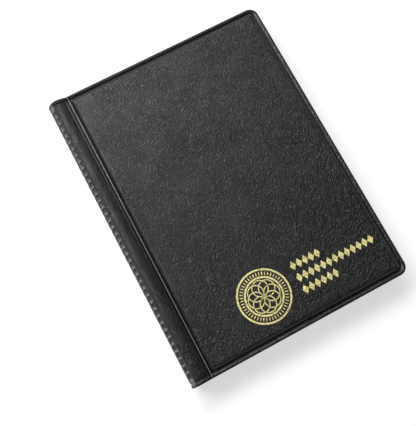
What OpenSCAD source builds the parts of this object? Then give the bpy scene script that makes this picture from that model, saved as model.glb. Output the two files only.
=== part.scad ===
// Pocket coin album: a welded vinyl cover with padded boards, a soft spine and ten pocket leaves.
// It lies closed on its back cover. X runs across the book, Y up the book and Z through its
// thickness. The origin is under the middle of the closed album, on the surface it lies on.

/* [Cover] */
// Width of the closed album, spine included
cover_w = 115; // [92:1:150]
// Height of the album
cover_h = 152; // [120:1:200]
// Radius of the two outer corners of each cover
corner_r = 4.5; // [2:0.5:8]
// From the spine's outer face to the weld line that the cover folds on
hinge_inset = 10.3; // [9:0.1:14]
// Welded rim between a cover's edge and its board
rim_w = 3.6; // [2.8:0.1:6]
// From the fold weld to the board
hinge_rim_w = 3.1; // [2.4:0.1:5]
// Height of the bead and of the fold ridge that the weld raises
bead_rise = 0.3; // [0.1:0.05:0.5]

/* [Layers] */
// Thickness of the grained vinyl skin
skin_t = 0.6; // [0.4:0.05:1]
// Thickness of the padding between skin and board
foam_t = 0.5; // [0.3:0.1:2]
// Thickness of the greyboard
board_t = 1.6; // [1:0.1:3]
// Thickness of the inside lining
lining_t = 0.3; // [0.2:0.05:0.5]
// Thickness of the stamped foil print
foil_t = 0.08; // [0.05:0.01:0.2]

/* [Spine] */
// Outer radius of the soft corners of the spine
spine_r = 6; // [4.5:0.25:7.5]
// How far the crest of the fold strip lies below the cover's face
crest_drop = 0.4; // [0.2:0.1:1]
// Where each corner folds, as an angle up from the spine's straight wall
fold_angle = 52; // [40:1:70]
// Depth of the block of welded page roots
binding_depth = 2.4; // [1.5:0.1:4]

/* [Leaves] */
// Distance from one leaf to the next in the closed album
leaf_pitch = 1.2; // [1.1:0.05:2]
// Thickness of a leaf's backing sheet
backing_t = 0.25; // [0.15:0.05:0.3]
// Thickness of the clear pocket film
film_t = 0.2; // [0.1:0.05:0.3]
// Height of the empty space inside a pocket
pocket_gap = 0.45; // [0.2:0.05:0.5]
// Plain margin between a leaf's root and its first weld
root_margin = 8; // [7:0.5:12]
// Gap between the leaves' outer edge and the cover's edge
leaf_fore_gap = 4.5; // [3:0.5:10]
// Gap between the leaves' top and bottom edges and the cover's edges
leaf_end_gap = 4; // [3:0.5:10]
// Width of a weld between pockets
weld_w = 1.1; // [0.8:0.1:2]
// Pockets across a leaf
pocket_columns = 3; // [2:1:4]
// Pockets up a leaf
pocket_rows = 4; // [3:1:6]
// Backing left bare above each row, where coins go in
mouth_gap = 3; // [2:0.5:6]

/* [Foil print] */
// Outer radius of the coin rim motif
motif_r = 13; // [8:0.5:16]
// Width of the foil line of the motif's two rings
motif_line = 0.9; // [0.6:0.1:1.5]
// Width of the foil line of the rosette
rosette_line = 0.5; // [0.3:0.1:0.8]
// Circles in the rosette
rosette_count = 8; // [5:1:12]
// Height of a lozenge in the three rows
lozenge_h = 4.6; // [2:0.2:5.6]
// Width of a lozenge
lozenge_w = 3; // [1.5:0.1:3.6]
// Distance from one lozenge to the next
lozenge_pitch = 3.2; // [2.6:0.1:4]
// Distance from one row to the next
row_step = 6.1; // [5:0.1:8]

/* [Hidden] */
LEAF_COUNT = 10;
$fn = 64;

SKIN = "#4b4b4d";
LINING = "#3a3a3c";
FOAM = "#d9d9d6";
BOARD = "#a89f8f";
FOIL = "#d9cc84";
BACKING = "#ececea";
FILM = "#cfdde4";

// Clearance between welded root block and shell
fit_gap = 0.05;
// Clearance round the board and the padding inside the skin
board_gap = 0.1;
// Gap between the root block and the leaves' fold line
root_gap = 0.3;
// Gap between the root block and the covers' linings
binding_end_gap = 0.1;
// How far in from the edge the rim's bead lies, and how wide it is
bead_inset = 0.7;
bead_w = 0.9;
// Slices along the hump of a fold strip and along each stretch of corner
HUMP_STEPS = 8;
ARC_STEPS = 8;

half_w = cover_w / 2;
half_h = cover_h / 2;
shell_t = skin_t + lining_t;
panel_t = skin_t + foam_t + board_t + lining_t;
inner_gap = LEAF_COUNT * leaf_pitch;
mid_z = inner_gap / 2 + panel_t;

// Heights above the album's middle plane, the same for the front and, mirrored, for the back
inner_z = inner_gap / 2;
flange_z = inner_z + shell_t;
board_z = inner_z + lining_t;
panel_z = mid_z;
crest_z = panel_z - crest_drop;
arc_z = crest_z - spine_r;

weld_x = -half_w + hinge_inset;
crest_x = -half_w + spine_r;
// Angle of the fold on the corner's arc, where 180 is the spine's straight wall
split_a = 180 - fold_angle;

binding_x0 = -half_w + shell_t + fit_gap;
binding_x1 = binding_x0 + binding_depth;
leaf_x0 = binding_x1 + root_gap;
leaf_x1 = half_w - leaf_fore_gap;
leaf_h = cover_h - 2 * leaf_end_gap;
grid_x0 = leaf_x0 + root_margin;
pocket_w = (leaf_x1 - grid_x0 - (pocket_columns + 1) * weld_w) / pocket_columns;
row_pitch = leaf_h / pocket_rows;
row_h = row_pitch - mouth_gap;
leaf_t = backing_t + pocket_gap + film_t;

// Centre of the coin rim motif, from the fold weld and from the bottom edge
motif_x = weld_x + 38.2;
motif_y = -half_h + 21.4;
// Left ends of the three rows of lozenges, and how many each holds from the top one down
rows_x = motif_x + motif_r + 4.2;
lozenge_counts = [5, 13, 6];
// Notches of the coin rim, and the radii between which they and the inner ring lie
notch_count = 48;
notch_r = motif_r - motif_line - 0.7;
notch_len = 1.5;
inner_ring_r = notch_r - notch_len - 0.5;
rosette_r = (inner_ring_r - motif_line - 0.4) / 2;

// Children are drawn above the middle plane: side 1 puts them in front, side -1 behind
module on_side(side) {
  translate([0, 0, mid_z]) mirror([0, 0, side < 0 ? 1 : 0]) children();
}

// Extrudes an outline drawn in X and Z over the book's height
module along_spine() {
  rotate([90, 0, 0]) linear_extrude(cover_h, center = true) children();
}

// A cover's outline, in from its three free edges and from the fold weld, round at two corners
module cover_outline(inset, hinge_in) {
  x0 = weld_x + hinge_in;
  x1 = half_w - inset;
  y1 = half_h - inset;
  r = max(corner_r - inset, 1);
  translate([x0, -y1]) square([x1 - r - x0, 2 * y1]);
  translate([x0, r - y1]) square([x1 - x0, 2 * (y1 - r)]);
  for (side = [-1, 1]) translate([x1 - r, side * (y1 - r)]) circle(r);
}

module cover_plate(z0, z1, inset, hinge_in) {
  translate([0, 0, z0]) linear_extrude(z1 - z0) cover_outline(inset, hinge_in);
}

// Grained skin: a padded face, walls down round the board, and the welded rim with its bead
module skin() {
  wall_in = rim_w - skin_t - board_gap;
  hinge_wall_in = hinge_rim_w - skin_t - board_gap;
  difference() {
    union() {
      cover_plate(board_z, flange_z, 0, 0);
      cover_plate(board_z, panel_z, wall_in, hinge_wall_in);
      rim_bead();
    }
    cover_plate(board_z - 1, panel_z - skin_t, rim_w - board_gap, hinge_rim_w - board_gap);
  }
}

// Bead along the three free edges, and the ridge beside the fold weld
module rim_bead() {
  translate([0, 0, board_z]) linear_extrude(shell_t - lining_t + bead_rise) {
    difference() {
      cover_outline(bead_inset, 0);
      cover_outline(bead_inset + bead_w, -1);
    }
    translate([weld_x, -half_h + bead_inset]) square([bead_w, cover_h - 2 * bead_inset]);
  }
}

module foam() {
  cover_plate(board_z + board_t, panel_z - skin_t, rim_w, hinge_rim_w);
}

module board() {
  cover_plate(board_z, board_z + board_t, rim_w, hinge_rim_w);
}

module lining() {
  cover_plate(inner_z, board_z, 0, 0);
}

// Points on the shell's section, a depth below its outer face
function strip_at(share, depth) = [
  weld_x + (crest_x - weld_x) * share,
  flange_z + (crest_z - flange_z) * (1 - cos(180 * share)) / 2 - depth
];
function corner_at(angle, depth) = [
  crest_x + (spine_r - depth) * cos(angle),
  arc_z + (spine_r - depth) * sin(angle)
];
function strip_line(depth) = concat(
  [for (i = [0 : HUMP_STEPS]) strip_at(i / HUMP_STEPS, depth)],
  [for (i = [1 : ARC_STEPS]) corner_at(90 + (split_a - 90) * i / ARC_STEPS, depth)]
);
function wall_line(depth) = [
  for (i = [0 : ARC_STEPS]) corner_at(split_a + (180 - split_a) * i / ARC_STEPS, depth)
];
function reversed(points) = [for (i = [len(points) - 1 : -1 : 0]) points[i]];
function below(points) = [for (p = reversed(points)) [p[0], -p[1]]];
function spine_line(depth) = concat(wall_line(depth), below(wall_line(depth)));

// One layer of a fold strip, from the weld over the hump to the fold in the corner
module strip_layer(depth0, depth1) {
  along_spine() polygon(concat(strip_line(depth0), reversed(strip_line(depth1))));
}

// One layer of the spine, from fold to fold round its straight wall
module spine_layer(depth0, depth1) {
  translate([0, 0, mid_z]) along_spine()
    polygon(concat(spine_line(depth0), reversed(spine_line(depth1))));
}

// The pages' root strips, welded into one block against the spine
module root_block() {
  end_z = inner_z - binding_end_gap;
  translate([0, 0, mid_z]) rotate([90, 0, 0]) linear_extrude(leaf_h, center = true) intersection() {
    translate([binding_x0, -end_z]) square([binding_depth, 2 * end_z]);
    polygon(concat([[0, 0]], spine_inside()));
  }
}

// The inside of the spine's shell, carried round to the strips
function spine_inside() = concat(
  [for (i = [0 : ARC_STEPS]) corner_at(90 + 90 * i / ARC_STEPS, shell_t + fit_gap)],
  below([for (i = [0 : ARC_STEPS]) corner_at(90 + 90 * i / ARC_STEPS, shell_t + fit_gap)])
);

// Lowest face of a leaf, counted from the back cover
function leaf_z(number) = panel_t + leaf_pitch * (number - 0.5) - leaf_t / 2;

module leaf_backing(number) {
  translate([leaf_x0, -leaf_h / 2, leaf_z(number)]) cube([leaf_x1 - leaf_x0, leaf_h, backing_t]);
}

// Four strips of clear film, each welded round three pockets that are open at the top
module leaf_pockets(number) {
  for (row = [0 : pocket_rows - 1])
    translate([grid_x0, -leaf_h / 2 + row * row_pitch, leaf_z(number) + backing_t]) difference() {
      cube([leaf_x1 - grid_x0, row_h, pocket_gap + film_t]);
      for (column = [0 : pocket_columns - 1])
        translate([weld_w + column * (pocket_w + weld_w), weld_w, -1])
          cube([pocket_w, row_h, pocket_gap + 1]);
    }
}

// A ring of foil, by its outer radius
module foil_ring(radius, line) {
  difference() {
    circle(radius);
    circle(radius - line);
  }
}

// Coin rim motif: two rings with a row of notches between them, round a rosette of circles
module coin_motif() {
  foil_ring(motif_r, motif_line);
  foil_ring(inner_ring_r, motif_line);
  for (i = [0 : notch_count - 1])
    rotate(360 * i / notch_count) translate([notch_r - notch_len, -motif_line / 4])
      square([notch_len, motif_line / 2]);
  for (i = [0 : rosette_count - 1])
    rotate(360 * i / rosette_count) translate([rosette_r, 0])
      foil_ring(rosette_r, rosette_line);
}

module lozenge() {
  w = lozenge_w / 2;
  h = lozenge_h / 2;
  polygon([[-w, 0], [0, h], [w, 0], [0, -h]]);
}

// The motif, and three plain rows of lozenges beside it
module print_outline() {
  translate([motif_x, motif_y]) coin_motif();
  for (row = [0 : len(lozenge_counts) - 1])
    for (i = [0 : lozenge_counts[row] - 1])
      translate([rows_x + lozenge_w / 2 + i * lozenge_pitch, motif_y + (1 - row) * row_step])
        lozenge();
}

module front_skin() { color(SKIN) on_side(1) skin(); }
module front_foam() { color(FOAM) on_side(1) foam(); }
module front_board() { color(BOARD) on_side(1) board(); }
module front_lining() { color(LINING) on_side(1) lining(); }
module foil_print() {
  color(FOIL) on_side(1) translate([0, 0, panel_z]) linear_extrude(foil_t) print_outline();
}
module front_strip_skin() { color(SKIN) on_side(1) strip_layer(0, skin_t); }
module front_strip_lining() { color(LINING) on_side(1) strip_layer(skin_t, shell_t); }
module spine_skin() { color(SKIN) spine_layer(0, skin_t); }
module spine_lining() { color(LINING) spine_layer(skin_t, shell_t); }
module page_binding() { color(BACKING) root_block(); }
module back_strip_skin() { color(SKIN) on_side(-1) strip_layer(0, skin_t); }
module back_strip_lining() { color(LINING) on_side(-1) strip_layer(skin_t, shell_t); }
module back_skin() { color(SKIN) on_side(-1) skin(); }
module back_foam() { color(FOAM) on_side(-1) foam(); }
module back_board() { color(BOARD) on_side(-1) board(); }
module back_lining() { color(LINING) on_side(-1) lining(); }
module backing(number) { color(BACKING) leaf_backing(number); }
module pockets(number) { color(FILM, 0.4) leaf_pockets(number); }

front_skin();
front_foam();
front_board();
front_lining();
foil_print();
front_strip_skin();
front_strip_lining();
spine_skin();
spine_lining();
page_binding();
back_strip_skin();
back_strip_lining();
back_skin();
back_foam();
back_board();
back_lining();
backing(1);  // leaf_01_backing
backing(2);  // leaf_02_backing
backing(3);  // leaf_03_backing
backing(4);  // leaf_04_backing
backing(5);  // leaf_05_backing
backing(6);  // leaf_06_backing
backing(7);  // leaf_07_backing
backing(8);  // leaf_08_backing
backing(9);  // leaf_09_backing
backing(10);  // leaf_10_backing
pockets(1);  // leaf_01_pockets
pockets(2);  // leaf_02_pockets
pockets(3);  // leaf_03_pockets
pockets(4);  // leaf_04_pockets
pockets(5);  // leaf_05_pockets
pockets(6);  // leaf_06_pockets
pockets(7);  // leaf_07_pockets
pockets(8);  // leaf_08_pockets
pockets(9);  // leaf_09_pockets
pockets(10);  // leaf_10_pockets
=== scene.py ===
import math

import bpy
import numpy as np
from mathutils import Matrix, Vector


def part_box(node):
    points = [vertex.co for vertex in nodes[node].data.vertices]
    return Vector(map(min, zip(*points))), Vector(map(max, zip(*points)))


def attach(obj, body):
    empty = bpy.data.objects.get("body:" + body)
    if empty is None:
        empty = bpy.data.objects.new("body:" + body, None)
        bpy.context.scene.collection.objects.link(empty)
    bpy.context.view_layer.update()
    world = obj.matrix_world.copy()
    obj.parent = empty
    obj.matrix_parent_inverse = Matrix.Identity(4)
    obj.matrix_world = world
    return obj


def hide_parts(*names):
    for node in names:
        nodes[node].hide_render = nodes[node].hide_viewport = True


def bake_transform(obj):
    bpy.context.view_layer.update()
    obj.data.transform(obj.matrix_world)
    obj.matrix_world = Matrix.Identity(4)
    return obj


# Coin album in welded black vinyl: padded covers on a soft spine, ten leaves of clear pockets.
# Shapes are worked out in millimetres and turned to metres where a mesh is made.

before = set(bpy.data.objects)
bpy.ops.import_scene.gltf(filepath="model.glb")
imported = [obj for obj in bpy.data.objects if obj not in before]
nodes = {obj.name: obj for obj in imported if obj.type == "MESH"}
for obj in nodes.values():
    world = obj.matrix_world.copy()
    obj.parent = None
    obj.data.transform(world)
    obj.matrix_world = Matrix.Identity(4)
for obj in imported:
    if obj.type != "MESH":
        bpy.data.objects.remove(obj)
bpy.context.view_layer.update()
MM = 0.001

# ---------------------------------------------------------------- sizes from the frame


def box_mm(node):
    """Lowest and highest corner of a CAD node, in millimetres."""
    low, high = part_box(node)
    return np.array(low) / MM, np.array(high) / MM


skin_low, skin_high = box_mm("front_skin")
lining_low, lining_high = box_mm("front_lining")
foam_low, foam_high = box_mm("front_foam")
board_high = box_mm("front_board")[1]
strip_high = box_mm("front_strip_skin")[1]
spine_low = box_mm("spine_skin")[0]
binding_low, binding_high = box_mm("page_binding")

HALF_W = skin_high[0]
HALF_H = skin_high[1]
WELD_X = skin_low[0]
SPINE_X = spine_low[0]
LINING_T = lining_high[2] - lining_low[2]
SKIN_T = skin_high[2] - foam_high[2]
MID_Z = skin_high[2] / 2
PANEL_H = MID_Z
INNER_H = lining_low[2] - MID_Z
FLANGE_H = INNER_H + LINING_T + SKIN_T
CREST_H = strip_high[2] - MID_Z
BOARD_TOP_H = board_high[2] - MID_Z

# ---------------------------------------------------------------- sizes of the welded cover

# Radius of a cover's two free corners, and of the spine's long edges
CORNER_R = 4.5
SPINE_R = 6.0
CREST_X = SPINE_X + SPINE_R
ARC_H = CREST_H - SPINE_R
# The corner is fuller than a circle: it tops out nearer the spine, then the strip falls to the weld
ROLL_X = CREST_X - 1.1
ROLL_W = ROLL_X - SPINE_X
# The strip's fall from its crest: final slope, how slowly it rolls over, and how softly it lands
STRIP_SLOPE = 0.52
STRIP_ROLL = 2.1
STRIP_EASE = 0.12
# The soft shoulder of the padding: where it starts inside the edges and the weld, its width, and
# its corner radius at the free edge and at the weld
PILLOW_IN = 2.9
PILLOW_HINGE_IN = 0.9
SHOULDER_W = 2.3
PILLOW_CORNER_R = 2.0
PILLOW_HINGE_R = 1.2
# The hollow under the shoulder, which clears the board's edge: how far in it starts, and its width
HOLLOW_IN = 0.35
HOLLOW_W = 0.8
# Radius of the foam's own corners
PADDING_CORNER_R = 1.3
# The rim's rounded cut edge: how far it falls, over what width
EDGE_H = 0.22
EDGE_W = 0.45
# Rim bead: how far in it lies, its half width and height
BEAD_IN = 0.9
BEAD_W = 0.34
BEAD_H = 0.12
# The cut groove between bead and padding: how far in its bottom lies, its half width and depth
GROOVE_IN = 2.1
GROOVE_W = 0.7
GROOVE_H = 0.42
# The fold weld: place beside the weld, half width and height or depth of its sharp ridge, of the
# faint line beside it, and of the grooves on the strip's side and on the padding's side
RIDGE = (0.2, 0.26, 0.42)
FAINT_LINE = (-1.2, 0.16, 0.12)
STRIP_GROOVE = (-0.42, 0.33, 0.4)
PADDING_GROOVE = (0.7, 0.24, 0.32)
# The band beside the weld that the welding bar melts smooth, from the strip to the padding
MELTED_FROM = -1.7
MELTED_TO = 1.1
# Where the vinyl is painted grey, partly as wear from hands and partly as a painted highlight: half
# width on the sharp ridge, and how much the faint line and the spine's ribs are lightened beside it
WEAR_AND_HIGHLIGHT_W = 0.24
LINE_WEAR_AND_HIGHLIGHT = 0.12
RIBS_WEAR_AND_HIGHLIGHT = 0.8
# The strip seam, where a cover's skin hands over to the corner's skin
SEAM_X = (WELD_X + CREST_X) / 2
# The wall seam, between the second and third row of welds on the spine
WALL_SEAM = 1.5
# Embossed rows on the spine: how many, their spacing and width round the spine, the dashes' pitch,
# length and depth, how softly dashes and rows end, and the bare stretch at each end of the spine
ROWS = range(-2, 3)
ROW_STEP = 3.5
ROW_W = 2.7
DASH_PITCH = 3.6
DASH_LEN = 2.8
DASH_DEPTH = 0.5
DASH_EASE = 0.45
ROW_EASE = 0.6
DASH_MARGIN = 3.4


def smooth(t):
    """Eases from 0 to 1 as t does."""
    t = np.clip(t, 0, 1)
    return t * t * (3 - 2 * t)


def plateau(value, low, high, edge):
    """1 between low and high, easing to 0 over an edge inside them."""
    return smooth((value - low) / edge) * smooth((high - value) / edge)


def mound(t, half_width):
    """A round ridge of height 1, by the distance from its crest."""
    return np.exp(-((t / half_width) ** 2))


def flat_mound(t, half_width):
    """A ridge of height 1 with a flatter top, which shows as a clean line of light."""
    return np.exp(-((t / half_width) ** 4))


def lines(*stretches):
    """Grid lines over stretches of (from, to, spacing), without doubles."""
    points = []
    for start, end, step in stretches:
        count = max(1, int(round(abs(end - start) / step)))
        points.extend(np.linspace(start, end, count + 1))
    points = np.sort(np.array(points))
    keep = np.concatenate([[True], np.diff(points) > 1e-4])
    return points[keep]


def in_from_edge(x, y):
    """How far a point lies inside a cover's outline, round at its two right corners."""
    over_x = x - (HALF_W - CORNER_R)
    over_y = np.abs(y) - (HALF_H - CORNER_R)
    outside = np.hypot(np.maximum(over_x, 0), np.maximum(over_y, 0))
    inside = np.minimum(np.maximum(over_x, over_y), 0)
    return CORNER_R - outside - inside


def pillow_in(x, y):
    """How far a point lies inside the padded field, whose four corners are round."""
    left = WELD_X + PILLOW_HINGE_IN
    centre_x = (left + HALF_W - PILLOW_IN) / 2
    radius = np.where(x < centre_x, PILLOW_HINGE_R, PILLOW_CORNER_R)
    half_x = (HALF_W - PILLOW_IN - left) / 2 - radius
    half_y = HALF_H - PILLOW_IN - radius
    over_x = np.abs(x - centre_x) - half_x
    over_y = np.abs(y) - half_y
    outside = np.hypot(np.maximum(over_x, 0), np.maximum(over_y, 0))
    inside = np.minimum(np.maximum(over_x, over_y), 0)
    return radius - outside - inside


def quarter_round(depth, width):
    """Rises from 0 to 1 as a quarter of an ellipse, over a width."""
    t = np.clip(1 - depth / width, 0, 1)
    return np.where(depth > 0, np.sqrt(1 - t * t), 0)


def field_waves(x, y):
    """Slow unevenness of soft padding under tight vinyl, with a finer ripple across it."""
    slow = 0.035 * np.sin(x / 9.0 + 1.7 * np.sin(y / 21.0)) * np.cos(y / 13.0 + 0.8)
    fine = 0.018 * np.sin((x + y) / 4.1 + np.sin(x / 6.3)) * np.sin((x - 1.4 * y) / 5.7)
    return slow + fine


def rim_emboss(depth):
    """The welded rim: a rounded cut edge, the bead, and the cut groove before the padding."""
    edge = -EDGE_H * (1 - smooth(depth / EDGE_W))
    bead = BEAD_H * mound(depth - BEAD_IN, BEAD_W)
    groove = -GROOVE_H * np.maximum(0, 1 - np.abs(depth - GROOVE_IN) / GROOVE_W)
    return edge + bead + groove


def rim_weld(depth):
    """How far the rim has melted smooth: less on the bead, which the welding bar doesn't touch."""
    return 0.6 - 0.55 * mound(depth - BEAD_IN, 0.6)


def hinge_emboss(x):
    """The fold weld: a sharp ridge with a groove each side, and a faint line beside it."""
    height = 0
    for place, half_width, ridge in (RIDGE, FAINT_LINE):
        height = height + ridge * flat_mound(x - WELD_X - place, half_width)
    for place, half_width, groove in (STRIP_GROOVE, PADDING_GROOVE):
        height = height - groove * mound(x - WELD_X - place, half_width)
    return height


def wear_and_highlight_lines(x, depth):
    """Where a cover's ridges are painted grey, partly as wear and partly as a painted highlight:
    along the fold's crest, and a little beside it.
    """
    fold = mound(x - WELD_X - RIDGE[0], WEAR_AND_HIGHLIGHT_W)
    line = LINE_WEAR_AND_HIGHLIGHT * flat_mound(x - WELD_X - FAINT_LINE[0], FAINT_LINE[1])
    return np.maximum(fold, line) * smooth(depth / 1.5)


def strip_height(x):
    """Height of the soft strip's outer face: it rolls over its crest and down into the weld."""
    along = np.maximum(x - ROLL_X, 0) / STRIP_ROLL
    roll = CREST_H - STRIP_SLOPE * STRIP_ROLL * (np.sqrt(1 + along ** 2) - 1)
    over = (roll - FLANGE_H) / STRIP_EASE
    return FLANGE_H + STRIP_EASE * np.logaddexp(0, over) * smooth((WELD_X - x) / 0.6)


def cover_heights(x, y):
    """Heights of a cover skin's outer and inner faces, how welded it is, and how far it is painted
    grey as wear and highlight.
    """
    depth = in_from_edge(x, y)
    inside = pillow_in(x, y)
    rise = PANEL_H - FLANGE_H
    field = smooth((inside - SHOULDER_W) / 6)
    shoulder = FLANGE_H + rise * quarter_round(inside, SHOULDER_W)
    outer = np.where(x < WELD_X, strip_height(x), shoulder)
    outer = outer + field * (field_waves(x, y) - 0.05)
    outer = outer + (rim_emboss(depth) + hinge_emboss(x)) * np.where(inside > 0, 0, 1)
    flat = INNER_H + LINING_T
    under_strip = strip_height(x) - SKIN_T
    hollow = flat + (foam_high[2] - MID_Z - flat) * quarter_round(inside - HOLLOW_IN, HOLLOW_W)
    inner = np.where(x < WELD_X, under_strip, hollow)
    rim = rim_weld(depth) * (1 - smooth(inside / 0.9)) * np.where(x < WELD_X + MELTED_FROM, 0, 1)
    fold = plateau(x, WELD_X + MELTED_FROM, WELD_X + MELTED_TO, 0.2)
    welded = np.maximum(rim, fold)
    return outer, inner, welded, wear_and_highlight_lines(x, depth)


# ---------------------------------------------------------------- meshes


def link(obj):
    bpy.context.scene.collection.objects.link(obj)
    return obj


def make_mesh(name, points_mm, faces, material, angle=38, weld=None, wear_and_highlight=None):
    """A mesh object from points in millimetres.

    Each point keeps its rest place, how welded it is, and how far it is painted grey as wear and
    highlight, for the patterns."""
    mesh = bpy.data.meshes.new(name)
    points = np.asarray(points_mm, float)
    mesh.from_pydata((points * MM).tolist(), [], faces)
    mesh.validate()
    place = mesh.attributes.new("place_mm", "FLOAT_VECTOR", "POINT")
    place.data.foreach_set("vector", points.astype(np.float32).ravel())
    for kept, given in (("welded", weld), ("wear_and_highlight", wear_and_highlight)):
        values = np.zeros(len(points)) if given is None else np.asarray(given, float)
        attribute = mesh.attributes.new(kept, "FLOAT", "POINT")
        attribute.data.foreach_set("value", values.astype(np.float32))
    mesh.shade_smooth()
    mesh.set_sharp_from_angle(angle=math.radians(angle))
    mesh.materials.append(material)
    return link(bpy.data.objects.new(name, mesh))


def to_place(x, y, height, side):
    """Stacks x, y and a height above the middle plane, on the front (1) or the back (-1)."""
    return np.stack([x, y, MID_Z + side * height], axis=-1)


def slab_parts(outer, inner, flip=False, start=0):
    """Points and faces of a closed sheet between two grids of points of the same shape."""
    rows, columns = outer.shape[:2]
    count = rows * columns
    points = np.concatenate([outer.reshape(-1, 3), inner.reshape(-1, 3)])
    index = np.arange(count).reshape(rows, columns)
    a, b, c, d = index[:-1, :-1], index[1:, :-1], index[1:, 1:], index[:-1, 1:]
    top = np.stack([a, b, c, d], axis=-1).reshape(-1, 4)
    bottom = top[:, ::-1] + count
    ring = np.concatenate([index[:, 0], index[-1, 1:], index[-2::-1, -1], index[0, -2:0:-1]])
    following = np.roll(ring, -1)
    wall = np.stack([ring, ring + count, following + count, following], axis=-1)
    faces = np.concatenate([top, bottom, wall]) + start
    if flip:
        faces = faces[:, ::-1]
    return points, faces.tolist()


def slab(name, outer, inner, material, flip=False, weld=None, wear_and_highlight=None):
    """A closed sheet between two grids; what is welded, or painted grey as wear and highlight, is
    given for the outer grid.
    """
    points, faces = slab_parts(outer, inner, flip)
    if weld is not None:
        weld = np.concatenate([weld.ravel(), weld.ravel()])
        wear_and_highlight = np.concatenate([wear_and_highlight.ravel(), np.zeros(wear_and_highlight.size)])
    return make_mesh(name, points, faces, material, weld=weld, wear_and_highlight=wear_and_highlight)


def round_corners(x, y, ends, reach_y, radius, left=False):
    """Bends a rectangular grid's two right corners round, and its left ones too if asked.

    ends are the grid's lowest and highest x, and reach_y is half its height."""
    middle, half = (ends[0] + ends[1]) / 2, (ends[1] - ends[0]) / 2
    side = np.where(x < middle, -1, 1)
    a = np.clip((side * (x - middle) - half + radius) / radius, 0, 1)
    a = np.where((side < 0) & (not left), 0, a)
    b = np.clip((np.abs(y) - reach_y + radius) / radius, 0, 1)
    in_corner = a * b > 0
    new_x = middle + side * (half - radius + radius * a * np.sqrt(1 - b * b / 2))
    new_y = np.sign(y) * (reach_y - radius + radius * b * np.sqrt(1 - a * a / 2))
    return np.where(in_corner, new_x, x), np.where(in_corner, new_y, y)


def cover_grid():
    """Grid over a cover's face: close together over the fold weld, the rim and the shoulder."""
    rim = PILLOW_IN + SHOULDER_W
    hinge = WELD_X + PILLOW_HINGE_IN
    across = lines((SEAM_X, hinge - 0.1, 0.12), (hinge - 0.1, hinge + 0.3, 0.06),
                   (hinge + 0.3, hinge + SHOULDER_W, 0.15), (hinge + SHOULDER_W, HALF_W - rim, 1.3),
                   (HALF_W - rim, HALF_W - PILLOW_IN, 0.14), (HALF_W - PILLOW_IN, HALF_W, 0.13))
    along = lines((-HALF_H, -HALF_H + PILLOW_IN, 0.13), (-HALF_H + PILLOW_IN, -HALF_H + rim, 0.14),
                  (-HALF_H + rim, HALF_H - rim, 1.3), (HALF_H - rim, HALF_H - PILLOW_IN, 0.14),
                  (HALF_H - PILLOW_IN, HALF_H, 0.13))
    x, y = np.meshgrid(across, along, indexing="ij")
    return round_corners(x, y, (SEAM_X, HALF_W), HALF_H, CORNER_R)


def cover_skin(name, side, material):
    x, y = cover_grid()
    outer, inner, welded, wear_and_highlight = cover_heights(x, y)
    return slab(name, to_place(x, y, outer, side), to_place(x, y, inner, side), material,
                flip=side < 0, weld=welded, wear_and_highlight=wear_and_highlight)


def cover_lining(name, side, material):
    across = lines((SEAM_X, WELD_X, 0.25), (WELD_X, HALF_W - CORNER_R, 2.5),
                   (HALF_W - CORNER_R, HALF_W, 0.4))
    along = lines((-HALF_H, -HALF_H + CORNER_R, 0.4), (-HALF_H + CORNER_R, HALF_H - CORNER_R, 2.5),
                  (HALF_H - CORNER_R, HALF_H, 0.4))
    x, y = np.meshgrid(across, along, indexing="ij")
    x, y = round_corners(x, y, (SEAM_X, HALF_W), HALF_H, CORNER_R)
    low = np.where(x < WELD_X, strip_height(x) - SKIN_T - LINING_T, INNER_H)
    return slab(name, to_place(x, y, low + LINING_T, side), to_place(x, y, low, side), material,
                flip=side < 0)


# The corner's section runs from the strip seam over the crest and round to the wall seam.
ARC_R = (ROLL_W + SPINE_R) / 2
ARC_LEN = ARC_R * math.pi / 2
# Distance round the spine is counted from the middle of its straight wall
WALL_TOP = ARC_H
ARC_END = WALL_TOP + ARC_LEN


def section(s):
    """Point (x, height) and outward direction on the spine's outer face.

    s is counted up the wall from its middle, then round the corner to the crest, then along x."""
    s = np.asarray(s, float)
    turn = np.clip((s - WALL_TOP) / ARC_R, 0, math.pi / 2)
    x = ROLL_X - ROLL_W * np.cos(turn)
    height = ARC_H + SPINE_R * np.sin(turn)
    height = np.where(s < WALL_TOP, s, height)
    x = np.where(s > ARC_END, ROLL_X + (s - ARC_END), x)
    height = np.where(s > ARC_END, strip_height(x), height)
    out_x = -np.cos(turn) / ROLL_W
    out_h = np.sin(turn) / SPINE_R
    size = np.hypot(out_x, out_h)
    return x, height, out_x / size, out_h / size


def dash_starts():
    count = int(2 * (HALF_H - DASH_MARGIN) // DASH_PITCH)
    first = -(count * DASH_PITCH - (DASH_PITCH - DASH_LEN)) / 2
    return [first + i * DASH_PITCH for i in range(count)]


def spine_emboss(s, y):
    """The embossed weld rows: how far the vinyl is pressed, and the ribs left between the dashes."""
    in_row = np.zeros(np.broadcast(s, y).shape)
    for row in ROWS:
        centre = row * ROW_STEP
        in_row = np.maximum(in_row, plateau(s, centre - ROW_W / 2, centre + ROW_W / 2, ROW_EASE))
    in_dash = np.zeros_like(in_row)
    for start in dash_starts():
        in_dash = np.maximum(in_dash, plateau(y, start, start + DASH_LEN, DASH_EASE))
    return in_row * in_dash, in_row * (1 - in_dash)


def corner_lines(low, high):
    """Lines round the spine between two places, close at the edges of the weld rows."""
    stretches = [(low, high, 0.5)]
    for row in ROWS:
        for edge in (row * ROW_STEP - ROW_W / 2, row * ROW_STEP + ROW_W / 2 - ROW_EASE):
            if low < edge and edge + ROW_EASE < high:
                stretches.append((edge, edge + ROW_EASE, 0.12))
    return lines(*stretches)


def dash_lines():
    stretches = [(-HALF_H, -HALF_H + 3.2, 0.2), (HALF_H - 3.2, HALF_H, 0.2)]
    for start in dash_starts():
        end = start + DASH_LEN
        stretches.append((start, start + DASH_EASE, 0.1))
        stretches.append((start + DASH_EASE, end - DASH_EASE, 1.0))
        stretches.append((end - DASH_EASE, end, 0.1))
    return lines(*stretches)


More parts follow.
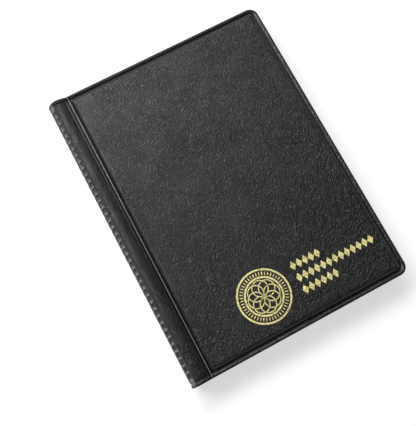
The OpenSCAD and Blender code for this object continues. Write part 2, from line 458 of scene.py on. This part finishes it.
def corner_pieces(name, side, low, material, lining_material):
    """Skin and lining round one corner, from a place on the wall to the strip seam."""
    s, y = np.meshgrid(corner_lines(low, ARC_END + SEAM_X - ROLL_X), dash_lines(), indexing="ij")
    x, height, out_x, out_h = section(s)
    depth = HALF_H - np.abs(y)
    pressed, ribs = spine_emboss(s, y)
    lift = rim_emboss(depth) - DASH_DEPTH * pressed

    def layer(offset):
        return to_place(x + out_x * offset, y, height + out_h * offset, side)

    end_rim = rim_weld(depth) * (1 - smooth((depth - 1.9) / 0.6))
    welded = np.maximum(pressed, end_rim)
    # The ribs between the dashes are painted lighter: partly wear, partly a painted highlight.
    wear_and_highlight = RIBS_WEAR_AND_HIGHLIGHT * ribs * smooth(depth / 3)
    skin = slab(name + "_skin", layer(lift), layer(-SKIN_T), material, flip=side < 0, weld=welded,
                wear_and_highlight=wear_and_highlight)
    lining = slab(name + "_lining", layer(-SKIN_T)[:, ::3], layer(-SKIN_T - LINING_T)[:, ::3],
                  lining_material, flip=side < 0)
    return skin, lining


# ---------------------------------------------------------------- leaves

LEAVES = 10
ROOT_IN_BLOCK = 1.2
LEAF_CORNER_R = 2.0
FILM_T = 0.12
POCKET_COLUMNS = 3
POCKET_ROWS = 4
POCKET_WELD_W = 1.1
# How far in from its welds a pocket's film takes to puff up
POCKET_EASE = 3.2
# Half the groove between two roots in the block
ROOT_GROOVE = 0.09


def leaf_backing(number, material):
    """A leaf's backing sheet, its root held in the block and its two outer corners round."""
    low, high = box_mm(f"leaf_{number:02d}_backing")
    reach = high[1]
    across = lines((low[0] - ROOT_IN_BLOCK, low[0] + 3, 0.2),
                   (low[0] + 3, high[0] - LEAF_CORNER_R, 4), (high[0] - LEAF_CORNER_R, high[0], 0.3))
    straight = reach - LEAF_CORNER_R
    along = lines((-reach, -straight, 0.3), (-straight, straight, 6), (straight, reach, 0.3))
    x, y = np.meshgrid(across, along, indexing="ij")
    x, y = round_corners(x, y, (low[0], high[0]), reach, LEAF_CORNER_R)
    top = np.stack([x, y, np.full_like(x, high[2])], axis=-1)
    bottom = np.stack([x, y, np.full_like(x, low[2])], axis=-1)
    return slab(f"leaf_{number:02d}_sheet", top, bottom, material)


def leaf_film(number, material):
    """Four strips of clear film, pressed down at the welds and puffed over the pockets."""
    low, high = box_mm(f"leaf_{number:02d}_pockets")
    points, faces, welds = [], [], []
    start = 0
    width = high[0] - low[0]
    pocket_w = (width - (POCKET_COLUMNS + 1) * POCKET_WELD_W) / POCKET_COLUMNS
    column_pitch = pocket_w + POCKET_WELD_W
    backing_high = box_mm(f"leaf_{number:02d}_backing")[1][1]
    row_pitch = 2 * backing_high / POCKET_ROWS
    row_h = high[1] - (backing_high - row_pitch)
    weld_edges = [low[0] + column * column_pitch for column in range(POCKET_COLUMNS + 1)]
    stretches = [(edge, edge + POCKET_WELD_W, 0.55) for edge in weld_edges]
    for edge, following in zip(weld_edges, weld_edges[1:]):
        stretches.append((edge + POCKET_WELD_W, following, pocket_w / 12))
    across = lines(*stretches)
    for row in range(POCKET_ROWS):
        y0 = low[1] + row * row_pitch
        y1 = y0 + POCKET_WELD_W
        along = lines((y0, y1, 0.55), (y1, y0 + row_h, row_h / 12))
        x, y = np.meshgrid(across, along, indexing="ij")
        u = np.mod(x - low[0] + 1e-6, column_pitch) - POCKET_WELD_W
        inside = np.minimum(np.minimum(u, pocket_w - u), y - y1)
        lift = quarter_round(inside, POCKET_EASE)
        base = low[2] + 0.04
        top_z = high[2] - FILM_T - 0.02
        z = base + (top_z - base) * lift
        outer = np.stack([x, y, z + FILM_T], axis=-1)
        inner = np.stack([x, y, z], axis=-1)
        new_points, new_faces = slab_parts(outer, inner, start=start)
        welded = np.where(inside > 0.05, 0.0, 1.0).ravel()
        welds.extend([welded, welded])
        points.append(new_points)
        faces.extend(new_faces)
        start += len(new_points)
    return make_mesh(f"leaf_{number:02d}_film", np.concatenate(points), faces, material, 60,
                     np.concatenate(welds))


def root_block(material):
    """The leaves' roots welded into one block: the layers show as fine grooves."""
    low, high = binding_low, binding_high
    step = (high[2] - low[2]) / LEAVES
    inner_r = SPINE_R - SKIN_T - LINING_T - 0.05
    across = lines((low[0], high[0], 0.3))
    along = np.array([-high[1], -high[1] + 0.3, high[1] - 0.3, high[1]])
    x, y = np.meshgrid(across, along, indexing="ij")
    points, faces = [], []
    start = 0
    for i in range(LEAVES):
        sheets = []
        for z in (low[2] + (i + 1) * step - ROOT_GROOVE, low[2] + i * step + ROOT_GROOVE):
            over = np.maximum(np.abs(z - MID_Z) - ARC_H, 0)
            wall = CREST_X - math.sqrt(inner_r ** 2 - over ** 2)
            sheets.append(np.stack([np.maximum(x, wall), y, np.full_like(x, z)], axis=-1))
        new_points, new_faces = slab_parts(sheets[0], sheets[1], start=start)
        points.append(new_points)
        faces.extend(new_faces)
        start += len(new_points)
    return make_mesh("page_root_block", np.concatenate(points), faces, material)


def padding(name, side, material):
    """Foam under the skin: flat on the board, its upper edge rounded by the tight skin."""
    rim = SHOULDER_W + 1
    across = lines((foam_low[0], foam_low[0] + rim, 0.2), (foam_low[0] + rim, foam_high[0] - rim, 3),
                   (foam_high[0] - rim, foam_high[0], 0.2))
    reach = foam_high[1]
    along = lines((-reach, -reach + rim, 0.2), (-reach + rim, reach - rim, 3),
                  (reach - rim, reach, 0.2))
    x, y = np.meshgrid(across, along, indexing="ij")
    x, y = round_corners(x, y, (foam_low[0], foam_high[0]), reach, PADDING_CORNER_R, left=True)
    roof = cover_heights(x, y)[1] - 0.02
    top = np.maximum(roof, BOARD_TOP_H + 0.04)
    return slab(name, to_place(x, y, top, side), to_place(x, y, np.full_like(x, BOARD_TOP_H), side),
                material, flip=side < 0)


# ---------------------------------------------------------------- foil print

FOIL_LIFT = 0.03
FOIL_T = 0.05
# The coin rim motif: widths of its two rings and of its eight crossing circles, and its notches
RING_W = 0.9
ROSETTE_W = 0.5
NOTCHES = 48
NOTCH_LEN = 1.5
NOTCH_W = 0.45
# Beside it, rows of lozenges: how many in each, their size, their spacing along and across, and
# their distance from the motif
LOZENGES = (5, 13, 6)
LOZENGE_W = 3.0
LOZENGE_H = 4.6
LOZENGE_PITCH = 3.2
LOZENGE_ROWS = 6.1
LOZENGE_GAP = 4.2


def on_cover(loop, height_offset):
    """A closed loop of x, y points laid on the front cover's face, a height above it."""
    x, y = np.array(loop).T
    return to_place(x, y, cover_heights(x, y)[0] + height_offset, 1)


def foil_band(outer, inner, start):
    """Points and faces of a closed ring of foil between two loops that run anticlockwise."""
    n = len(outer)
    high, low = FOIL_LIFT, FOIL_LIFT - FOIL_T
    points = np.concatenate([on_cover(loop, z) for loop in (outer, inner) for z in (high, low)])
    out_top, out_low, in_top, in_low = (start + k * n + np.arange(n) for k in range(4))

    def strip(a, b):
        return np.stack([a, np.roll(a, -1), np.roll(b, -1), b], axis=-1).tolist()

    flat = strip(out_top, in_top) + strip(in_low, out_low)
    return points, flat + strip(out_low, out_top) + strip(in_top, in_low)


def foil_patch(loop, start):
    """Points and faces of a filled foil shape, its loop running anticlockwise."""
    n = len(loop)
    points = np.concatenate([on_cover(loop, FOIL_LIFT), on_cover(loop, FOIL_LIFT - FOIL_T)])
    top = list(range(start, start + n))
    bottom = [v + n for v in top]
    walls = [[bottom[i], bottom[(i + 1) % n], top[(i + 1) % n], top[i]] for i in range(n)]
    return points, [top, bottom[::-1], *walls]


def circle_loop(centre, radius, steps):
    turns = np.arange(steps) * 2 * math.pi / steps
    return [(centre[0] + radius * math.cos(t), centre[1] + radius * math.sin(t)) for t in turns]


def turned(points, centre, angle):
    """Points turned about the origin, then moved to a centre."""
    c, s = math.cos(angle), math.sin(angle)
    return [(centre[0] + px * c - py * s, centre[1] + px * s + py * c) for px, py in points]


def foil_shapes():
    """The coin rim motif and the three rows of lozenges, as bands and filled patches."""
    foil_low, foil_high = box_mm("foil_print")
    radius = (foil_high[1] - foil_low[1]) / 2
    centre = (foil_low[0] + radius, (foil_low[1] + foil_high[1]) / 2)
    notch_r = radius - RING_W - 0.7
    inner_r = notch_r - NOTCH_LEN - 0.5
    rosette_r = (inner_r - RING_W - 0.4) / 2
    bands = [(centre, radius, RING_W, 96), (centre, inner_r, RING_W, 96)]
    for i in range(8):
        turn = i * math.pi / 4
        middle = (centre[0] + rosette_r * math.cos(turn), centre[1] + rosette_r * math.sin(turn))
        bands.append((middle, rosette_r, ROSETTE_W, 48))
    notch = [(notch_r - NOTCH_LEN, -NOTCH_W / 2), (notch_r, -NOTCH_W / 2), (notch_r, NOTCH_W / 2),
             (notch_r - NOTCH_LEN, NOTCH_W / 2)]
    patches = [turned(notch, centre, i * 2 * math.pi / NOTCHES) for i in range(NOTCHES)]
    lozenge = [(-LOZENGE_W / 2, 0), (0, -LOZENGE_H / 2), (LOZENGE_W / 2, 0), (0, LOZENGE_H / 2)]
    rows_x = centre[0] + radius + LOZENGE_GAP + LOZENGE_W / 2
    for row, count in enumerate(LOZENGES):
        row_y = centre[1] + (1 - row) * LOZENGE_ROWS
        for i in range(count):
            patches.append(turned(lozenge, (rows_x + i * LOZENGE_PITCH, row_y), 0))
    return bands, patches


def foil_print(material):
    bands, patches = foil_shapes()
    points, faces = [], []
    start = 0
    for centre, radius, width, steps in bands:
        new_points, new_faces = foil_band(circle_loop(centre, radius, steps),
                                          circle_loop(centre, radius - width, steps), start)
        points.append(new_points)
        faces.extend(new_faces)
        start += len(new_points)
    for loop in patches:
        new_points, new_faces = foil_patch(loop, start)
        points.append(new_points)
        faces.extend(new_faces)
        start += len(new_points)
    return make_mesh("stamped_foil", np.concatenate(points), faces, material)


# ---------------------------------------------------------------- materials


def linear(hex_colour):
    """An sRGB hex colour as the linear RGBA that a shader takes."""
    parts = [int(hex_colour[i:i + 2], 16) / 255 for i in (1, 3, 5)]
    return [c / 12.92 if c <= 0.04045 else ((c + 0.055) / 1.055) ** 2.4 for c in parts] + [1.0]


def new_material(name, **constants):
    """A material, its node tree and its shader, with the shader's constants set."""
    material = bpy.data.materials.new(name)
    material.use_nodes = True
    shader = material.node_tree.nodes["Principled BSDF"]
    for socket, value in constants.items():
        shader.inputs[socket.replace("_", " ")].default_value = value
    return material, material.node_tree, shader


def add(tree, kind, inputs, output=0, stops=(), **settings):
    """Adds a node with its settings and links, and hands back one of its outputs.

    An input is a constant or the socket that feeds it. Stops are a ramp's places and hex colours."""
    node = tree.nodes.new("ShaderNode" + kind)
    for key, value in settings.items():
        setattr(node, key, value)
    for key, value in inputs.items():
        if isinstance(value, bpy.types.NodeSocket):
            tree.links.new(value, node.inputs[key])
        else:
            node.inputs[key].default_value = value
    for i, (place, colour) in enumerate(stops):
        element = node.color_ramp.elements[i] if i < 2 else node.color_ramp.elements.new(place)
        element.position = place
        element.color = linear(colour)
    return node.outputs[output]


PVC_IOR = 1.53
# Calendered PVC takes its leather look from an embossing roller: pebbles a millimetre or so across,
# a little longer than wide, between sharp creases, with pores on them and, where the skin lies
# slack, longer wrinkles through them.
GRAIN_MM = 1.05
GRAIN_STRETCH = 0.88
PORE_MM = 0.4
WRINKLE_MM = 11.0
PATCH_MM = 40.0


def leather_grain(tree, where):
    """Height of the grain, about 0 to 1, and the pebbles on their own."""
    drift = add(tree, "TexNoise", {"Vector": where, "Scale": 0.3, "Detail": 2.0}, "Color")
    longer = add(tree, "Mapping", {"Vector": where, "Scale": (1, GRAIN_STRETCH, 1)})
    bent = add(tree, "VectorMath", {0: drift, 1: (3.0, 3.0, 3.0), 2: longer},
               operation="MULTIPLY_ADD")
    cells = add(tree, "TexVoronoi", {"Vector": bent, "Scale": 1 / GRAIN_MM}, "Distance",
                feature="DISTANCE_TO_EDGE")
    pebbles = add(tree, "MapRange", {"Value": cells, "From Max": 0.2},
                  interpolation_type="SMOOTHSTEP")
    pores = add(tree, "TexNoise", {"Vector": bent, "Scale": 1 / PORE_MM, "Detail": 3.0})
    wander = add(tree, "TexNoise", {"Vector": bent, "Scale": 1 / WRINKLE_MM, "Detail": 3.0,
                                    "Distortion": 0.8})
    off = add(tree, "Math", {0: wander, 1: 0.5}, operation="SUBTRACT")
    away = add(tree, "Math", {0: off}, operation="ABSOLUTE")
    wrinkles = add(tree, "MapRange", {"Value": away, "From Max": 0.025},
                   interpolation_type="SMOOTHSTEP")
    area = add(tree, "TexNoise", {"Vector": where, "Scale": 1 / PATCH_MM, "Detail": 1.0})
    slack = add(tree, "MapRange", {"Value": area, "From Min": 0.45, "From Max": 0.6})
    pulled = add(tree, "Math", {0: wrinkles, 1: slack}, operation="MULTIPLY")
    fine = add(tree, "Math", {0: pores, 1: 0.4}, operation="MULTIPLY")
    both = add(tree, "Math", {0: pebbles, 1: 0.6, 2: fine}, operation="MULTIPLY_ADD")
    height = add(tree, "Math", {0: pulled, 1: 0.3, 2: both}, operation="MULTIPLY_ADD")
    return height, pebbles


def embossed_pvc():
    """Black calendered PVC: a satin skin over a deep grain, its creases painted darker as shade. A
    welding bar melts the grain smooth, and the ridges and ribs are painted grey, partly as wear from
    handling and partly as a painted highlight."""
    material, tree, shader = new_material("embossed_black_pvc", IOR=PVC_IOR)
    where = add(tree, "Attribute", {}, "Vector", attribute_name="place_mm")
    weld = add(tree, "Attribute", {}, "Fac", attribute_name="welded")
    height, pebbles = leather_grain(tree, where)
    # The base colour is painted darker in the grain's creases as shade, and varies in patches.
    patches = add(tree, "TexNoise", {"Vector": where, "Scale": 0.06, "Detail": 3.0})
    shade = add(tree, "Math", {0: pebbles, 1: patches}, operation="ADD")
    black = add(tree, "ValToRGB", {"Fac": shade}, stops=[(0.4, "#08080A"), (1.0, "#151517")])
    # Ridges and ribs mixed towards light grey: partly wear, partly a painted highlight.
    wear_and_highlight = add(tree, "Attribute", {}, "Fac", attribute_name="wear_and_highlight")
    colour = add(tree, "Mix", {"Factor": wear_and_highlight, 6: black, 7: linear("#858587")}, 2, data_type="RGBA")
    tree.links.new(colour, shader.inputs["Base Color"])
    worn = add(tree, "MapRange", {"Value": patches, "From Min": 0.35, "From Max": 0.65,
                                  "To Min": 0.6, "To Max": 1.2})
    left = add(tree, "MapRange", {"Value": weld, "To Min": 1.0, "To Max": 0.06})
    depth = add(tree, "Math", {0: worn, 1: left}, operation="MULTIPLY")
    kept = add(tree, "Math", {0: height, 1: depth}, operation="MULTIPLY")
    bump = add(tree, "Bump", {"Height": kept, "Distance": 0.19 * MM})
    tree.links.new(bump, shader.inputs["Normal"])
    satin = add(tree, "MapRange", {"Value": height, "From Min": 0.1, "From Max": 1.1,
                                   "To Min": 0.48, "To Max": 0.37})
    melted = add(tree, "Math", {0: weld, 1: -0.2, 2: satin}, operation="MULTIPLY_ADD")
    tree.links.new(melted, shader.inputs["Roughness"])
    return material


def stamped_gold():
    """Hot-stamped foil: a film of metal pressed into the grain, which breaks up its shine. Its colour
    is painted paler on specks and pebble tops as sparkle, and darker in the creases as shade.
    """
    material, tree, shader = new_material("hot_stamped_gold_foil", Metallic=0.3)
    where = add(tree, "Attribute", {}, "Vector", attribute_name="place_mm")
    height, pebbles = leather_grain(tree, where)
    specks = add(tree, "TexNoise", {"Vector": where, "Scale": 1 / 0.9, "Detail": 4.0})
    cover = add(tree, "Math", {0: pebbles, 1: 0.35, 2: specks}, operation="MULTIPLY_ADD")
    # Painted sparkle: paler gold on specks and pebble tops, darker gold in the creases as painted
    # shade.
    colour = add(tree, "ValToRGB", {"Fac": cover}, stops=[(0.42, "#A28A3A"), (0.66, "#FFF6AC")])
    tree.links.new(colour, shader.inputs["Base Color"])
    bump = add(tree, "Bump", {"Height": height, "Distance": 0.1 * MM})
    tree.links.new(bump, shader.inputs["Normal"])
    shine = add(tree, "MapRange", {"Value": specks, "From Min": 0.3, "From Max": 0.7,
                                   "To Min": 0.5, "To Max": 0.28})
    tree.links.new(shine, shader.inputs["Roughness"])
    return material


def plain_pvc_sheet(name, low, high, rough):
    """Calendered PVC sheet without a grain: satin, faintly mottled, finely matted by the roller."""
    material, tree, shader = new_material(name, IOR=PVC_IOR)
    where = add(tree, "Attribute", {}, "Vector", attribute_name="place_mm")
    mottle = add(tree, "TexNoise", {"Vector": where, "Scale": 0.12, "Detail": 3.0})
    colour = add(tree, "ValToRGB", {"Fac": mottle}, stops=[(0.3, low), (0.7, high)])
    tree.links.new(colour, shader.inputs["Base Color"])
    matting = add(tree, "TexNoise", {"Vector": where, "Scale": 1 / 0.5, "Detail": 2.0})
    bump = add(tree, "Bump", {"Height": matting, "Distance": 0.02 * MM})
    tree.links.new(bump, shader.inputs["Normal"])
    satin = add(tree, "MapRange", {"Value": mottle, "To Min": rough - 0.08, "To Max": rough + 0.08})
    tree.links.new(satin, shader.inputs["Roughness"])
    return material


def clear_film():
    """Clear plasticised PVC film, a tenth of a millimetre: it lets the light through and shines;
    the knurled welding bar leaves its lines frosted."""
    material, tree, shader = new_material("clear_pvc_film", IOR=PVC_IOR, Specular_IOR_Level=1.0)
    where = add(tree, "Attribute", {}, "Vector", attribute_name="place_mm")
    weld = add(tree, "Attribute", {}, "Fac", attribute_name="welded")
    cloud = add(tree, "TexNoise", {"Vector": where, "Scale": 0.08})
    colour = add(tree, "ValToRGB", {"Fac": cloud}, stops=[(0.3, "#D5DCDF"), (0.7, "#E4E9EB")])
    tree.links.new(colour, shader.inputs["Base Color"])
    knurl = add(tree, "TexVoronoi", {"Vector": where, "Scale": 1 / 0.6}, "Distance")
    pressed = add(tree, "Math", {0: knurl, 1: weld}, operation="MULTIPLY")
    height = add(tree, "Math", {0: pressed, 1: 0.4, 2: cloud}, operation="MULTIPLY_ADD")
    bump = add(tree, "Bump", {"Height": height, "Distance": 0.25 * MM, "Strength": 0.7})
    tree.links.new(bump, shader.inputs["Normal"])
    frost = add(tree, "MapRange", {"Value": weld, "To Min": 0.07, "To Max": 0.45})
    tree.links.new(frost, shader.inputs["Roughness"])
    haze = add(tree, "MapRange", {"Value": weld, "To Min": 0.2, "To Max": 0.5})
    tree.links.new(haze, shader.inputs["Alpha"])
    return material


def grey_board():
    """Bookbinder's grey board, pressed from waste paper: matt, with fibres and darker flecks."""
    material, tree, shader = new_material("pressed_grey_board", Roughness=0.92)
    held = add(tree, "TexCoord", {}, "Object")
    fibres = add(tree, "TexNoise", {"Vector": held, "Scale": 900.0, "Detail": 6.0, "Roughness": 0.7})
    colour = add(tree, "ValToRGB", {"Fac": fibres}, stops=[(0.35, "#857C6D"), (0.65, "#ADA493")])
    tree.links.new(colour, shader.inputs["Base Color"])
    bump = add(tree, "Bump", {"Height": fibres, "Distance": 0.05 * MM})
    tree.links.new(bump, shader.inputs["Normal"])
    return material


def soft_foam():
    """Thin white polyurethane foam: matt, with open cells of half a millimetre."""
    material, tree, shader = new_material("white_polyurethane_foam", Roughness=0.95)
    where = add(tree, "Attribute", {}, "Vector", attribute_name="place_mm")
    cells = add(tree, "TexVoronoi", {"Vector": where, "Scale": 1 / 0.5}, "Distance")
    colour = add(tree, "ValToRGB", {"Fac": cells}, stops=[(0.1, "#C4C3BC"), (0.6, "#E4E3DD")])
    tree.links.new(colour, shader.inputs["Base Color"])
    bump = add(tree, "Bump", {"Height": cells, "Distance": 0.1 * MM})
    tree.links.new(bump, shader.inputs["Normal"])
    return material


# ---------------------------------------------------------------- the album

cover_vinyl = embossed_pvc()
lining_vinyl = plain_pvc_sheet("smooth_black_pvc_lining", "#161617", "#1F1F21", 0.5)
page_vinyl = plain_pvc_sheet("opaque_white_pvc_sheet", "#E2E2DE", "#EDEDEA", 0.42)
film = clear_film()
foam = soft_foam()
board = grey_board()
gold = stamped_gold()


def settle(piece, slot, *replaced):
    """Hides the CAD nodes that a piece stands for, and hands the piece back; slot is not used."""
    if replaced:
        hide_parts(*replaced)
    return piece


def bend_weld(piece):
    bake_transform(piece)


def bend_corner(piece):
    """Bakes the corner's transform into its mesh."""
    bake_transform(piece)


for end_name, side, low in (("front", 1, WALL_SEAM), ("back", -1, -WALL_SEAM)):
    skin = settle(cover_skin(end_name + "_cover_skin", side, cover_vinyl), "cover_vinyl",
                  end_name + "_skin")
    sheet = settle(cover_lining(end_name + "_cover_lining", side, lining_vinyl), "lining_vinyl",
                   end_name + "_lining")
    bend_weld(skin)
    bend_weld(sheet)
    foam_piece = settle(padding(end_name + "_padding", side, foam), "padding", end_name + "_foam")
    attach(foam_piece, end_name + "_cover")
    corner, corner_lining = corner_pieces(end_name + "_corner", side, low, cover_vinyl, lining_vinyl)
    settle(corner, "cover_vinyl", end_name + "_strip_skin", "spine_skin")
    settle(corner_lining, "lining_vinyl", end_name + "_strip_lining", "spine_lining")
    bend_corner(corner)
    bend_corner(corner_lining)
    nodes[end_name + "_board"].data.materials.clear()
    nodes[end_name + "_board"].data.materials.append(board)

foil = settle(foil_print(gold), "gold_foil", "foil_print")
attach(foil, "front_cover")

block = settle(root_block(page_vinyl), "page_vinyl", "page_binding")
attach(block, "spine")

for number in range(1, LEAVES + 1):
    body = f"leaf_{number:02d}"
    backing = settle(leaf_backing(number, page_vinyl), "page_vinyl", body + "_backing")
    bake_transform(backing)
    pockets = settle(leaf_film(number, film), "pocket_film", body + "_pockets")
    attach(pockets, body)

# ---------------------------------------------------------------- floor, light and camera

# The floor: how far it reaches, how far it lies under the album, and how much it glows
FLOOR_REACH = 6.0
FLOOR_DROP = 0.2 * MM
FLOOR_LIFT = 0.62
# How bright the room is low round the sides and high overhead, and how high the low light reaches
LOW_GLOW = 0.5
HIGH_GLOW = 0.03
GLOW_REACH = 0.6


def studio_floor():
    """A wide floor of white paper, which glows where it is seen so that it reads as plain white."""
    mesh = bpy.data.meshes.new("floor")
    corners = [(-1, -1), (1, -1), (1, 1), (-1, 1)]
    points = [(x * FLOOR_REACH, y * FLOOR_REACH, -FLOOR_DROP) for x, y in corners]
    mesh.from_pydata(points, [], [(0, 1, 2, 3)])
    material, tree, shader = new_material("matt_white_paper", Roughness=0.9,
                                          Base_Color=linear("#C0C0C0"))
    shader.inputs["Emission Color"].default_value = linear("#FFFFFF")
    seen = add(tree, "LightPath", {}, "Is Camera Ray")
    mirrored = add(tree, "LightPath", {}, "Is Glossy Ray")
    through = add(tree, "LightPath", {}, "Is Transmission Ray")
    either = add(tree, "Math", {0: seen, 1: mirrored}, operation="MAXIMUM")
    any_of = add(tree, "Math", {0: either, 1: through}, operation="MAXIMUM")
    lift = add(tree, "Math", {0: any_of, 1: FLOOR_LIFT}, operation="MULTIPLY")
    tree.links.new(lift, shader.inputs["Emission Strength"])
    mesh.materials.append(material)
    floor = link(bpy.data.objects.new("floor", mesh))


def softbox(name, place, target, size, watts):
    """A rectangular lamp at a place, facing a target; places and sizes in millimetres."""
    light = bpy.data.lights.new(name, "AREA")
    light.shape = "RECTANGLE"
    light.size = size[0] * MM
    light.size_y = size[1] * MM
    light.energy = watts
    lamp = link(bpy.data.objects.new(name, light))
    lamp.location = Vector(place) * MM
    facing = Vector(target) - Vector(place)
    lamp.rotation_euler = facing.to_track_quat("-Z", "Y").to_euler()


def soft_room():
    """A dim pale room: most of its light comes from low round the sides, and it is seen as white."""
    world = bpy.data.worlds.new("soft_room")
    world.use_nodes = True
    tree = world.node_tree
    background = tree.nodes["Background"]
    background.inputs["Color"].default_value = linear("#F4F4F6")
    look = add(tree, "TexCoord", {}, "Generated")
    upward = add(tree, "SeparateXYZ", {"Vector": look}, "Z")
    glow = add(tree, "MapRange", {"Value": upward, "From Max": GLOW_REACH, "To Min": LOW_GLOW,
                                  "To Max": HIGH_GLOW})
    seen = add(tree, "LightPath", {}, "Is Camera Ray")
    strength = add(tree, "Math", {0: glow, 1: seen}, operation="MAXIMUM")
    tree.links.new(strength, background.inputs["Strength"])
    return world


studio_floor()
softbox("window_light", (-170, 410, 620), (0, 20, 10), (800, 290), 6.6)
softbox("side_light", (-330, 200, 560), (0, 0, 10), (120, 400), 0.55)

scene = bpy.context.scene
scene.world = soft_room()
scene.view_settings.view_transform = "Standard"

# The camera stands over the cover's lower left, looking down a little up and to the right.
CAMERA_FROM_WELD = Vector((-4.9, -64.1, 323.6))
CAMERA_FORWARD = Vector((0.1176, 0.1709, -0.9782)).normalized()
CAMERA_UP_HINT = Vector((0.4561, 0.8657, 0.2061))
LENS_MM = 58.96

camera_data = bpy.data.cameras.new("camera")
camera_data.lens = LENS_MM
camera_data.clip_start, camera_data.clip_end = 0.01, 20
camera = link(bpy.data.objects.new("camera", camera_data))
right = CAMERA_FORWARD.cross(CAMERA_UP_HINT).normalized()
up = right.cross(CAMERA_FORWARD)
turn = Matrix((right, up, -CAMERA_FORWARD)).transposed().to_4x4()
stand = (Vector((WELD_X, 0, MID_Z + FLANGE_H)) + CAMERA_FROM_WELD) * MM
camera.matrix_world = Matrix.Translation(stand) @ turn
scene.camera = camera

bpy.context.view_layer.update()
